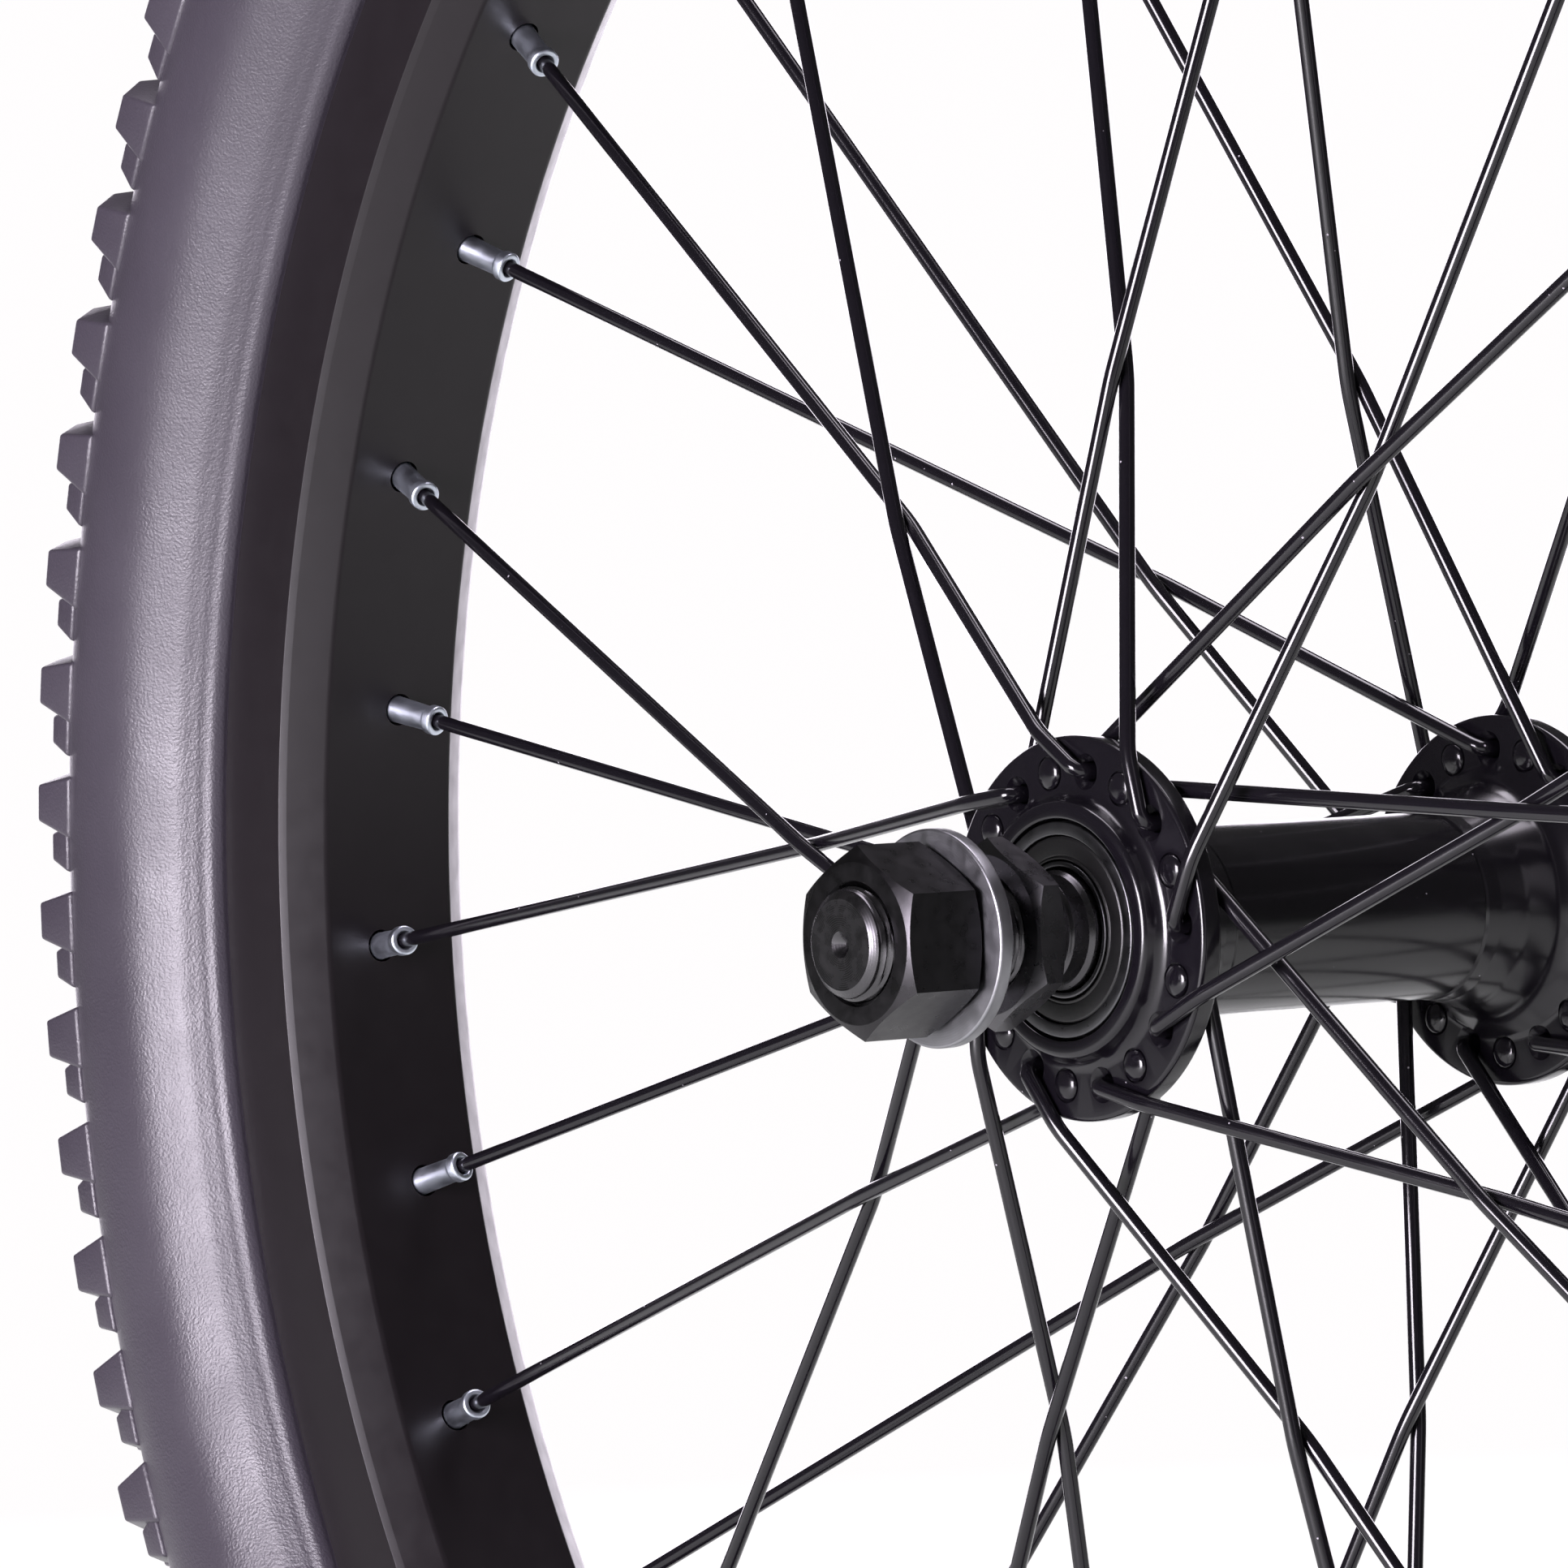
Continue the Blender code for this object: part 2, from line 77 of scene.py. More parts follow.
# Spokes: 18 a side, crossed three times
SPOKES_A_SIDE = 18
FIRST_HOLE_ANGLE = math.radians(1.3)
HOLE_STEP = math.radians(20)
HOLE_CIRCLE_RADIUS = 19.0 * MM
FLANGE_OUTER_Y = 35.9 * MM
FLANGE_INNER_Y = 32.9 * MM
SPOKE_RADIUS = 1.0 * MM
ELBOW_RADIUS = 1.5 * MM
CROSSED_ANGLE = math.radians(60)
LAST_CROSSING_ANGLE = math.radians(50)
LAST_CROSSING_Y = 24.3 * MM
CROSSING_OFFSET = 1.18 * MM
CROSSING_BEND_RADIUS = 40 * MM
FLANGE_EDGE_REACH = 8.7 * MM
FLANGE_EDGE_LEAN = 0.4 * MM
FLANGE_EDGE_BEND_RADIUS = 14 * MM
HEAD_RADIUS = 1.95 * MM
HEAD_HEIGHT = 0.7 * MM
HEAD_SUNK = 0.3 * MM
SPOKE_SIDES = 16

NIPPLE_SEAT_RADIUS = 193.0 * MM
NIPPLE_SEAT_Y = 1.3 * MM
NIPPLE_BELOW_SEAT = 9.4 * MM
NIPPLE_HOLE_RADIUS = 2.25 * MM
NIPPLE_HOLE_REACH = 5 * MM
WIRE_END_BELOW_SEAT = 4 * MM

BEARING_MIDDLE_Y = 34.8 * MM
BALL_COUNT = 9
BALL_RADIUS = 1.6 * MM
BALL_CIRCLE_RADIUS = 10.3 * MM
AXLE_THREAD_RADIUS = 6.8 * MM
AXLE_THREAD_PITCH = 1.0 * MM
AXLE_THREAD_DEPTH = 0.5 * MM
NUT_BORE_RADIUS = AXLE_THREAD_RADIUS + 0.1 * MM
VALVE_ANGLE = FIRST_HOLE_ANGLE + math.radians(-85)
VALVE_HOLE_RADIUS = 4.2 * MM

# The rim's wall beside the tyre, and where the valve's hole is drilled from and to, in mm
RIM_WALL = 1.7
RIM_WALL_HEIGHT = 6.0
VALVE_HOLE_START, VALVE_HOLE_END = 186, 198

# The flange's holes, in mm: a pocket for the spoke's head and a wider mouth for its elbow
SPOKE_HOLE_RADIUS = 1.25
HEAD_POCKET_RADIUS, HEAD_POCKET_DEPTH = 2.15, 0.45
ELBOW_MOUTH_RADIUS, ELBOW_MOUTH_DEPTH = 2.2, 1.1

# A nut's chamfer: its slope, and the share of the flats that its flat face covers
CHAMFER_SLOPE = 0.58
NUT_FACE_SHARE = 0.96

# The valve cap's ribs: their number, and their middle and half height in mm
CAP_RIBS = 24
CAP_RADIUS = 4.85
RIB_HEIGHT = 0.22

TREAD_BLOCKS = 90
TREAD_PITCH = math.radians(4)
TREAD_BEVEL = 0.5 * MM

# Lamps: name, place, (width, height) and power in watts. Each faces the wheel's centre.
LAMPS = (
    ("key", (0.32, -1.88, 0.17), (0.8, 0.82), 82),
    ("fill", (1.9, 0.1, 0.5), (1.0, 1.4), 3),
    ("top", (-0.1, 0.35, 1.9), (1.6, 1.2), 48),
    ("back", (-1.5, 1.3, 0.2), (2.2, 0.8), 24),
)
LIGHT_TINT = (0.96, 0.89, 1.0)
WHITE = (1.0, 0.985, 0.99, 1)
SURROUND_LIGHT = 0.08
FLOOR_RADIUS = 8.0
FLOOR_GAP = 0.2 * MM
# The floor's glow grows from its least to full between these distances from the wheel's foot
GLOW_START, GLOW_END = 0.4, 1.9
LEAST_GLOW = 0.4

CAMERA_PLACE = (0.7492, -0.6700, 0.0331)
CAMERA_AZIMUTH = math.radians(51.75)
CAMERA_ELEVATION = math.radians(0.84)
CAMERA_ROLL = math.radians(-2.31)
CAMERA_LENS = 188.5
SENSOR_WIDTH = 36

RIM_STEPS = 360
HUB_STEPS = 144
BEARING_STEPS = 128
CAP_STEPS = 144
AXLE_STEPS = 96
CAGE_STEPS = 64
STEM_STEPS = 48
SMALL_STEPS = 32
HOLE_STEPS = 24
FLOOR_STEPS = 128

# A round corner takes at most this share of the runs beside it
MOST_OF_A_RUN = 0.49
WELD_DISTANCE = 1e-6
# Most of a noise texture's values lie between these two
NOISE_LOW, NOISE_HIGH = 0.3, 0.7


# ---------------------------------------------------------------- meshes


def arc_corner(before, corner, after, radius, pieces):
    """The points of a round corner between two straight runs, in two dimensions."""
    there = Vector(before) - Vector(corner)
    onward = Vector(after) - Vector(corner)
    half_angle = there.angle(onward) / 2
    reach = min(radius / math.tan(half_angle), MOST_OF_A_RUN * there.length, MOST_OF_A_RUN * onward.length)
    radius = reach * math.tan(half_angle)
    halfway = (there.normalized() + onward.normalized()).normalized()
    middle = Vector(corner) + halfway * (radius / math.sin(half_angle))
    start = Vector(corner) + there.normalized() * reach - middle
    turn = start.angle_signed(Vector(corner) + onward.normalized() * reach - middle)
    points = []
    for index in range(pieces + 1):
        angle = -turn * index / pieces
        cosine, sine = math.cos(angle), math.sin(angle)
        offset = Vector((start.x * cosine - start.y * sine, start.x * sine + start.y * cosine))
        points.append(middle + offset)
    return points


def rounded(corners, closed=False, pieces=5):
    """An outline in metres from (a, b, radius) corners in mm. A corner of radius 0 stays sharp."""
    points = []
    count = len(corners)
    for index, (a, b, radius) in enumerate(corners):
        is_end = not closed and index in (0, count - 1)
        if radius == 0 or is_end:
            points.append(Vector((a, b)))
            continue
        before = corners[index - 1][:2]
        after = corners[(index + 1) % count][:2]
        points += arc_corner(before, (a, b), after, radius, pieces)
    return [point * MM for point in points]


def both_sides(half):
    """The closed list of (radius, y, corner) for a piece that is the same on both sides."""
    return half + [(radius, -y, corner) for radius, y, corner in reversed(half)]


def mirrored(points):
    """The points of an outline, in order, on the other side of the wheel."""
    return [Vector((point.x, -point.y)) for point in points]


def skin(rings, wrap=False):
    """A closed mesh through rings of equal length. It wraps onto its first ring, or gets two end caps."""
    bm = bmesh.new()
    rows = [[bm.verts.new(point) for point in ring] for ring in rings]
    pairs = list(zip(rows, rows[1:]))
    if wrap:
        pairs.append((rows[-1], rows[0]))
    for lower, upper in pairs:
        for index in range(len(lower)):
            nearby = (index + 1) % len(lower)
            bm.faces.new((lower[index], lower[nearby], upper[nearby], upper[index]))
    if not wrap:
        bm.faces.new(rows[0][::-1])
        bm.faces.new(rows[-1])
    bmesh.ops.remove_doubles(bm, verts=bm.verts, dist=WELD_DISTANCE)
    bmesh.ops.recalc_face_normals(bm, faces=bm.faces)
    return bm


def circle(radius, y, steps):
    """A ring of points about the Y axis. The radius is a number, or a function of the angle."""
    points = []
    for index in range(steps):
        angle = 2 * math.pi * index / steps
        reach = radius(angle) if callable(radius) else radius
        points.append(Vector((reach * math.cos(angle), y, reach * math.sin(angle))))
    return points


def circles(profile, steps):
    """A ring for each (radius, y) of a profile in metres."""
    return [circle(radius, y, steps) for radius, y in profile]


def circles_mm(profile, steps):
    """A ring for each (radius, y) of a profile in mm."""
    return [circle(radius * MM, y * MM, steps) for radius, y in profile]


def turned(outline, steps):
    """The ring-shaped solid that a closed outline sweeps about the Y axis."""
    return skin(circles(outline, steps), wrap=True)


def rod(start, end, radius, sides):
    """A cylinder between two points, such as a drill."""
    bm = bmesh.new()
    run = end - start
    turn = Vector((0, 0, 1)).rotation_difference(run).to_matrix().to_4x4()
    place = Matrix.Translation((start + end) / 2) @ turn
    bmesh.ops.create_cone(
        bm, cap_ends=True, segments=sides, radius1=radius, radius2=radius, depth=run.length, matrix=place
    )
    return bm


def piece(name, bm, material, body, replaces=(), placement=Matrix(), sharp=32):
    """An edge that turns by more than sharp, in degrees, isn't smoothed.
    """
    mesh = bpy.data.meshes.new(name)
    bm.to_mesh(mesh)
    bm.free()
    mesh.transform(placement)
    mesh.shade_smooth()
    mesh.set_sharp_from_angle(angle=math.radians(sharp))
    mesh.materials.append(material)
    obj = bpy.data.objects.new(name, mesh)
    bpy.context.scene.collection.objects.link(obj)
    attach(obj, body)
    if replaces:
        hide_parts(*replaces)
    return obj


def carve(obj, tool_bm, operation="DIFFERENCE", sharp=30):
    """Applies a Boolean with a closed bmesh to the piece for good."""
    mesh = bpy.data.meshes.new("tool")
    tool_bm.to_mesh(mesh)
    tool_bm.free()
    tool = bpy.data.objects.new("tool", mesh)
    bpy.context.scene.collection.objects.link(tool)
    modifier = obj.modifiers.new("carve", "BOOLEAN")
    modifier.operation = operation
    modifier.object = tool
    modifier.solver = "EXACT"
    graph = bpy.context.evaluated_depsgraph_get()
    cut = bpy.data.meshes.new_from_object(obj.evaluated_get(graph), depsgraph=graph)
    obj.modifiers.clear()
    obj.data = cut
    bpy.data.objects.remove(tool)
    cut.shade_smooth()
    cut.set_sharp_from_angle(angle=math.radians(sharp))


def joined(parts):
    """One bmesh from several."""
    whole = bmesh.new()
    for part in parts:
        mesh = bpy.data.meshes.new("part")
        part.to_mesh(mesh)
        part.free()
        whole.from_mesh(mesh)
        bpy.data.meshes.remove(mesh)
    return whole


# ---------------------------------------------------------------- materials


class Shader:
    """A Principled material with short calls for its texture nodes. Textures use object coordinates."""

    def __init__(self, name, colour, roughness, metallic=0.0):
        self.material = bpy.data.materials.new(name)
        self.material.use_nodes = True
        self.nodes = self.material.node_tree.nodes
        self.shader = self.nodes["Principled BSDF"]
        self.set("Base Color", (*colour, 1))
        self.set("Roughness", roughness)
        self.set("Metallic", metallic)
        self.place = self.nodes.new("ShaderNodeTexCoord").outputs["Object"]

    def set(self, socket, value):
        self.shader.inputs[socket].default_value = value

    def join(self, output, socket):
        self.material.node_tree.links.new(output, socket)

    def noise(self, scale, detail=3.0):
        node = self.nodes.new("ShaderNodeTexNoise")
        node.inputs["Scale"].default_value = scale
        node.inputs["Detail"].default_value = detail
        self.join(self.place, node.inputs["Vector"])
        return node.outputs["Fac"]

    def ramp(self, value, low, high, start, end):
        """The value, with low to high stretched to start to end."""
        node = self.nodes.new("ShaderNodeMapRange")
        node.inputs["From Min"].default_value = low
        node.inputs["From Max"].default_value = high
        node.inputs["To Min"].default_value = start
        node.inputs["To Max"].default_value = end
        self.join(value, node.inputs["Value"])
        return node.outputs["Result"]

    def wander(self, scale, detail, low, high):
        """A value that drifts between low and high over the surface."""
        return self.ramp(self.noise(scale, detail), NOISE_LOW, NOISE_HIGH, low, high)

    def maths(self, operation, first, second):
        node = self.nodes.new("ShaderNodeMath")
        node.operation = operation
        for socket, value in zip(node.inputs, (first, second)):
            if isinstance(value, (int, float)):
                socket.default_value = value
            else:
                self.join(value, socket)
        return node.outputs["Value"]

    def mottle(self, factor, dark, light):
        """Colours the surface between dark and light."""
        node = self.nodes.new("ShaderNodeMix")
        node.data_type = "RGBA"
        self.join(factor, node.inputs["Factor"])
        node.inputs["A"].default_value = (*dark, 1)
        node.inputs["B"].default_value = (*light, 1)
        self.join(node.outputs["Result"], self.shader.inputs["Base Color"])

    def roughness_from(self, output):
        self.join(output, self.shader.inputs["Roughness"])

    def radius(self):
        """The distance from the wheel's axis."""
        split = self.nodes.new("ShaderNodeSeparateXYZ")
        self.join(self.place, split.inputs["Vector"])
        squares = [self.maths("MULTIPLY", split.outputs[axis], split.outputs[axis]) for axis in "XZ"]
        return self.maths("SQRT", self.maths("ADD", *squares), 0.0)

    def rings(self, pitch):
        """A fine turned finish: ridges at this pitch from the axis outwards."""
        return self.maths("SINE", self.maths("MULTIPLY", self.radius(), 2 * math.pi / pitch), 0.0)

    def dust(self, spacing, size, share):
        """1 on sparse small specks, 0 elsewhere."""
        cells = self.nodes.new("ShaderNodeTexVoronoi")
        cells.inputs["Scale"].default_value = 1 / spacing
        self.join(self.place, cells.inputs["Vector"])
        split = self.nodes.new("ShaderNodeSeparateColor")
        self.join(cells.outputs["Color"], split.inputs["Color"])
        chosen = self.maths("LESS_THAN", split.outputs["Red"], share)
        reach = self.maths("MULTIPLY", split.outputs["Green"], size / spacing)
        near = self.maths("LESS_THAN", cells.outputs["Distance"], reach)
        return self.maths("MULTIPLY", chosen, near)

    def bump(self, height, distance, strength=1.0):
        node = self.nodes.new("ShaderNodeBump")
        node.inputs["Distance"].default_value = distance
        node.inputs["Strength"].default_value = strength
        self.join(height, node.inputs["Height"])
        self.join(node.outputs["Normal"], self.shader.inputs["Normal"])


def make_rubber():
    """Moulded tyre rubber: dark grey, a little purple, with a dusty bloom and faint mould marks."""
    look = Shader("tyre rubber", (0.035, 0.031, 0.040), 0.38)
    look.mottle(look.noise(24, 5), (0.025, 0.021, 0.029), (0.047, 0.041, 0.053))
    look.roughness_from(look.wander(70, 4, 0.33, 0.42))
    mould_marks = look.maths("MULTIPLY", look.noise(180, 3), 1.1)
    grain = look.maths("ADD", look.noise(2600, 3), mould_marks)
    look.bump(grain, distance=0.00007)
    return look.material


def make_satin_black():
    """The rim's satin black anodising, a little brown, with an uneven sheen."""
    look = Shader("satin black anodising", (0.007, 0.0055, 0.0065), 0.36)
    look.set("Specular IOR Level", 0.32)
    look.mottle(look.noise(18, 3), (0.0056, 0.0041, 0.0052), (0.0092, 0.0070, 0.0085))
    look.roughness_from(look.wander(300, 4, 0.33, 0.39))
    look.bump(look.noise(350, 2), distance=0.000008)
    return look.material


def make_gloss_black(name, roughness, dust_share):
    """Deep gloss black with a faint purple cast and a few specks of dust."""
    look = Shader(name, (0.004, 0.0035, 0.005), roughness)
    specks = look.dust(spacing=0.0016, size=0.00016, share=dust_share)
    look.mottle(specks, (0.0042, 0.0035, 0.0052), (0.30, 0.28, 0.31))
    film = look.wander(160, 3, roughness - 0.02, roughness + 0.04)
    look.roughness_from(look.maths("ADD", film, look.maths("MULTIPLY", specks, 0.4)))
    look.bump(look.noise(120, 2), distance=0.00001, strength=0.5)
    return look.material


def make_metal(name, dark, light, roughness, pitch=0.0):
    """Machined metal. A pitch above 0 adds the fine rings that a lathe leaves."""
    look = Shader(name, light, roughness, 1.0)
    look.mottle(look.noise(160, 4), dark, light)
    look.roughness_from(look.wander(500, 3, roughness - 0.05, roughness + 0.07))
    if pitch:
        look.bump(look.rings(pitch), distance=0.0000015)
    else:
        look.bump(look.noise(900, 3), distance=0.00001)
    return look.material


def make_seal():
    """Smooth black rubber, for the seals and for the tube and strip inside the tyre."""
    look = Shader("bearing seal rubber", (0.006, 0.006, 0.006), 0.36)
    look.mottle(look.noise(300, 3), (0.0045, 0.0045, 0.0045), (0.009, 0.0085, 0.009))
    look.bump(look.noise(1500, 2), distance=0.00002)
    return look.material


def make_plastic():
    """The valve cap's black plastic, with a fine moulded grain."""
    look = Shader("black moulded plastic", (0.02, 0.02, 0.02), 0.4)
    look.mottle(look.noise(200, 3), (0.012, 0.012, 0.012), (0.026, 0.025, 0.026))
    look.bump(look.noise(1800, 2), distance=0.00003)
    return look.material


# ---------------------------------------------------------------- tyre


def smooth_curve(points, pieces):
    """A Catmull-Rom curve through 2D points, ends included."""
    points = [Vector(point) for point in points]
    padded = [2 * points[0] - points[1]] + points + [2 * points[-1] - points[-2]]
    curve = []
    for a, b, c, d in zip(padded, padded[1:], padded[2:], padded[3:]):
        for index in range(pieces):
            t = index / pieces
            squared = 2 * a - 5 * b + 4 * c - d
            cubed = 3 * b - a - 3 * c + d
            curve.append(0.5 * (2 * b + (c - a) * t + squared * t**2 + cubed * t**3))
    curve.append(points[-1])
    return curve


def casing_half():
    """The +Y half of the casing's outer face, in mm, from the rim's edge to the crown."""
    edge = RIM_RADIUS / MM
    face = [
        (edge + 0.35, 15.2),
        (edge + 0.45, 16.0),
        (edge + 1.0, 17.0),
        (edge + 2.0, 17.9),
        (edge + 3.2, 19.1),
        (edge + 6.0, 21.4),
        (edge + 12.5, 24.8),
        (edge + 20.0, 25.5),
        (edge + 27.0, 23.7),
        (edge + 32.4, 19.9),
        (edge + 37.9, 13.8),
        (edge + 41.1, 7.2),
        (edge + 42.0, 0.0),
    ]
    return smooth_curve(face, 5)


def build_tyre(rubber):
    """The casing: beads inside the rim's walls, the outer face and the lining."""
    outer = casing_half()
    wall = RIM_HALF_WIDTH / MM - RIM_WALL - FIT / MM
    bead_seat = RIM_RADIUS / MM - RIM_WALL_HEIGHT + FIT / MM
    bead = [(bead_seat, wall - 0.5), (bead_seat + 0.4, wall), (RIM_RADIUS / MM - 0.4, wall)]
    half = [Vector(point) for point in bead] + outer[:-1]
    inside = [
        (bead_seat, 10.4),
        (bead_seat + 6.6, 11.4),
        (bead_seat + 11.8, 17.6),
        (bead_seat + 18.0, 21.4),
        (bead_seat + 25.0, 22.4),
        (bead_seat + 33.0, 19.6),
        (bead_seat + 41.5, 11.5),
        (bead_seat + 44.8, 0.0),
    ]
    lining = smooth_curve(inside, 4)
    loop = half + [outer[-1]] + mirrored(reversed(half))
    loop += mirrored(lining[:-1]) + list(reversed(lining))
    outline = [point * MM for point in loop]
    piece("tyre_casing", turned(outline, RIM_STEPS), rubber, "wheel", ["tyre"], sharp=40)


def block(bm, section, side, angle):
    """A tread block from (radius, y, start, end) corners. It runs from start to end round the wheel."""
    spin = Matrix.Rotation(-angle, 3, "Y")
    low = [bm.verts.new(spin @ Vector((radius, side * y, start)) * MM) for radius, y, start, _ in section]
    high = [bm.verts.new(spin @ Vector((radius, side * y, end)) * MM) for radius, y, _, end in section]
    bm.faces.new(low)
    bm.faces.new(high[::-1])
    for index in range(len(section)):
        nearby = (index + 1) % len(section)
        bm.faces.new((low[nearby], low[index], high[index], high[nearby]))


def build_tread(rubber):
    """On each side a large and a small shoulder block in turn, and two staggered rows over the crown."""
    edge = RIM_RADIUS / MM
    large = [
        (edge + 26.4, 22.6, -4.6, 5.4),
        (edge + 27.0, 24.2, -4.0, 4.6),
        (edge + 33.9, 24.8, -2.6, 2.6),
        (edge + 38.6, 19.2, -2.8, 2.8),
        (edge + 35.0, 15.0, -5.0, 6.0),
    ]
    small = [
        (edge + 28.0, 21.8, -3.6, 3.8),
        (edge + 28.6, 23.5, -3.2, 3.4),
        (edge + 33.0, 23.0, -1.9, 1.9),
        (edge + 36.9, 18.2, -2.0, 2.0),
        (edge + 34.0, 15.6, -3.8, 4.0),
    ]
    middle = [
        (edge + 36.4, 16.6, -5.0, 5.0),
        (edge + 40.0, 15.9, -4.0, 4.0),
        (edge + 42.9, 9.6, -4.0, 4.0),
        (edge + 39.4, 8.2, -5.0, 5.0),
    ]
    crown = [
        (edge + 40.2, 7.4, -4.4, 4.4),
        (edge + 43.9, 6.6, -3.6, 3.6),
        (edge + 44.6, 0.9, -3.6, 3.6),
        (edge + 41.0, 0.3, -4.4, 4.4),
    ]
    # Each row's place round the wheel, in blocks
    rows = ((large, 0.646), (small, 1.022), (middle, 0.9), (crown, 0.4))
    for label, side, stagger in (("left", -1, 0.0), ("right", 1, 0.5)):
        bm = bmesh.new()
        for section, shift in rows:
            for index in range(TREAD_BLOCKS):
                angle = FIRST_HOLE_ANGLE + (index + shift + stagger) * TREAD_PITCH
                block(bm, section, side, angle)
        bmesh.ops.recalc_face_normals(bm, faces=bm.faces)
        bmesh.ops.bevel(bm, geom=bm.edges, offset=TREAD_BEVEL, segments=3, profile=0.5, affect="EDGES")
        piece(f"tyre_tread_{label}", bm, rubber, "wheel", sharp=60)


# ---------------------------------------------------------------- spokes


def round_the_wheel(angle):
    """The direction from the axle at this angle."""
    return Vector((math.cos(angle), 0, math.sin(angle)))


class Spoke:
    """One spoke's line. An outer spoke has its head inside the flange and runs outside it."""

    def __init__(self, side, hub_angle, turn, outer):
        self.side = side
        self.outer = outer
        self.hub = HOLE_CIRCLE_RADIUS * round_the_wheel(hub_angle)
        seat = NIPPLE_SEAT_RADIUS * round_the_wheel(hub_angle + turn * CROSSED_ANGLE)
        self.across = (seat - self.hub).normalized()
        self.seat_reach = (seat - self.hub).length
        ray = round_the_wheel(hub_angle + turn * LAST_CROSSING_ANGLE)
        self.crossing_reach = self.hub.cross(ray).y / -self.across.cross(ray).y
        self.crossing_y = LAST_CROSSING_Y + (-CROSSING_OFFSET if outer else CROSSING_OFFSET)
        start = self.at(self.crossing_reach, self.crossing_y)
        self.seat = self.at(self.seat_reach, NIPPLE_SEAT_Y)
        self.along = (self.seat - start).normalized()

    def at(self, reach, y):
        """The point this far along from the flange's hole, and this far from the middle plane."""
        return self.hub + self.across * reach + Vector((0, self.side * y, 0))

    def wire(self):
        """(reach, y) points from under the head to the nipple, in metres."""
        stand_off = SPOKE_RADIUS + FIT
        if self.outer:
            start, run_y = FLANGE_INNER_Y + HEAD_SUNK, FLANGE_OUTER_Y + stand_off
        else:
            start, run_y = FLANGE_OUTER_Y - HEAD_SUNK, FLANGE_INNER_Y - stand_off
        corners = [(0, start, 0), (0, run_y, ELBOW_RADIUS)]
        if self.outer:
            corners.append((FLANGE_EDGE_REACH, run_y - FLANGE_EDGE_LEAN, FLANGE_EDGE_BEND_RADIUS))
        end_reach = self.seat_reach - WIRE_END_BELOW_SEAT
        share = (end_reach - self.crossing_reach) / (self.seat_reach - self.crossing_reach)
        end_y = self.crossing_y + (NIPPLE_SEAT_Y - self.crossing_y) * share
        corners += [(self.crossing_reach, self.crossing_y, CROSSING_BEND_RADIUS), (end_reach, end_y, 0)]
        return rounded([(a / MM, b / MM, radius / MM) for a, b, radius in corners], pieces=7)

    def mesh(self):
        """The wire with its domed head."""
        path = self.wire()
        normal = self.across.cross(Vector((0, self.side, 0)))
        way = 1 if path[1].y > path[0].y else -1
        stations = []
        for share in (0.02, 0.3, 0.55, 0.75, 0.92, 1.0):
            angle = share * math.pi / 2
            height = HEAD_SUNK + HEAD_HEIGHT * math.cos(angle)
            stations.append((Vector((0, path[0].y - way * height)), HEAD_RADIUS * math.sin(angle)))
        stations += [(path[0], HEAD_RADIUS), (path[0], SPOKE_RADIUS)]
        head_stations = len(stations)
        stations += [(point, SPOKE_RADIUS) for point in path[1:]]
        rings = []
        for index, (point, radius) in enumerate(stations):
            before = stations[max(index - 1, 0)][0]
            after = stations[min(index + 1, len(stations) - 1)][0]
            run = (after - before).normalized()
            if index < head_stations:
                run = Vector((0, way))
            sideways = Vector((-run.y, run.x))
            ring = []
            for step in range(SPOKE_SIDES):
                angle = 2 * math.pi * step / SPOKE_SIDES
                offset = sideways * radius * math.cos(angle)
                middle = self.at(point.x + offset.x, point.y + offset.y)
                ring.append(middle + normal * radius * math.sin(angle))
            rings.append(ring)
        return skin(rings)


def lacing():
    """All 36 spokes by label. The two sides' lacing is turned half a hole apart."""
    spokes = {}
    for label, side, shift, first_is_outer in (("left", -1, 0, True), ("right", 1, 0.5, False)):
        for index in range(SPOKES_A_SIDE):
            angle = FIRST_HOLE_ANGLE + (index + shift) * HOLE_STEP
            turn = 1 if index % 2 == 0 else -1
            outer = first_is_outer == (index % 2 == 0)
            spokes[f"{label}_{index + 1:02d}"] = Spoke(side, angle, turn, outer)
    return spokes


def nipple_mesh():
    """A nipple along +Y with its open tip at 0: a rolled collar, a smooth body and a head."""
    profile = [
        (1.04, 1.4, 0),
        (1.04, 0.5, 0.2),
        (1.35, 0.0, 0.15),
        (2.08, 0.0, 0.35),
        (2.08, 1.35, 0.35),
        (1.74, 1.75, 0.4),
        (1.86, 7.6, 2.0),
        (1.96, 10.4, 0.4),
        (2.85, 11.1, 0.2),
        (2.85, 12.0, 0.3),
        (2.2, 12.9, 0.2),
        (1.04, 12.9, 0),
    ]
    return turned(rounded(profile, closed=True, pieces=4), SMALL_STEPS)


def build_spokes(spokes, black, nickel):
    for label, spoke in spokes.items():
        node = f"spoke_{label}"
        piece(f"spoke_wire_{label}", spoke.mesh(), black, "wheel", [node], sharp=40)
        tip = spoke.seat - NIPPLE_BELOW_SEAT * spoke.along
        turn = Vector((0, 1, 0)).rotation_difference(spoke.along).to_matrix().to_4x4()
        place = Matrix.Translation(tip) @ turn
        piece(f"nipple_{label}", nipple_mesh(), nickel, "wheel", placement=place)


# ---------------------------------------------------------------- rim


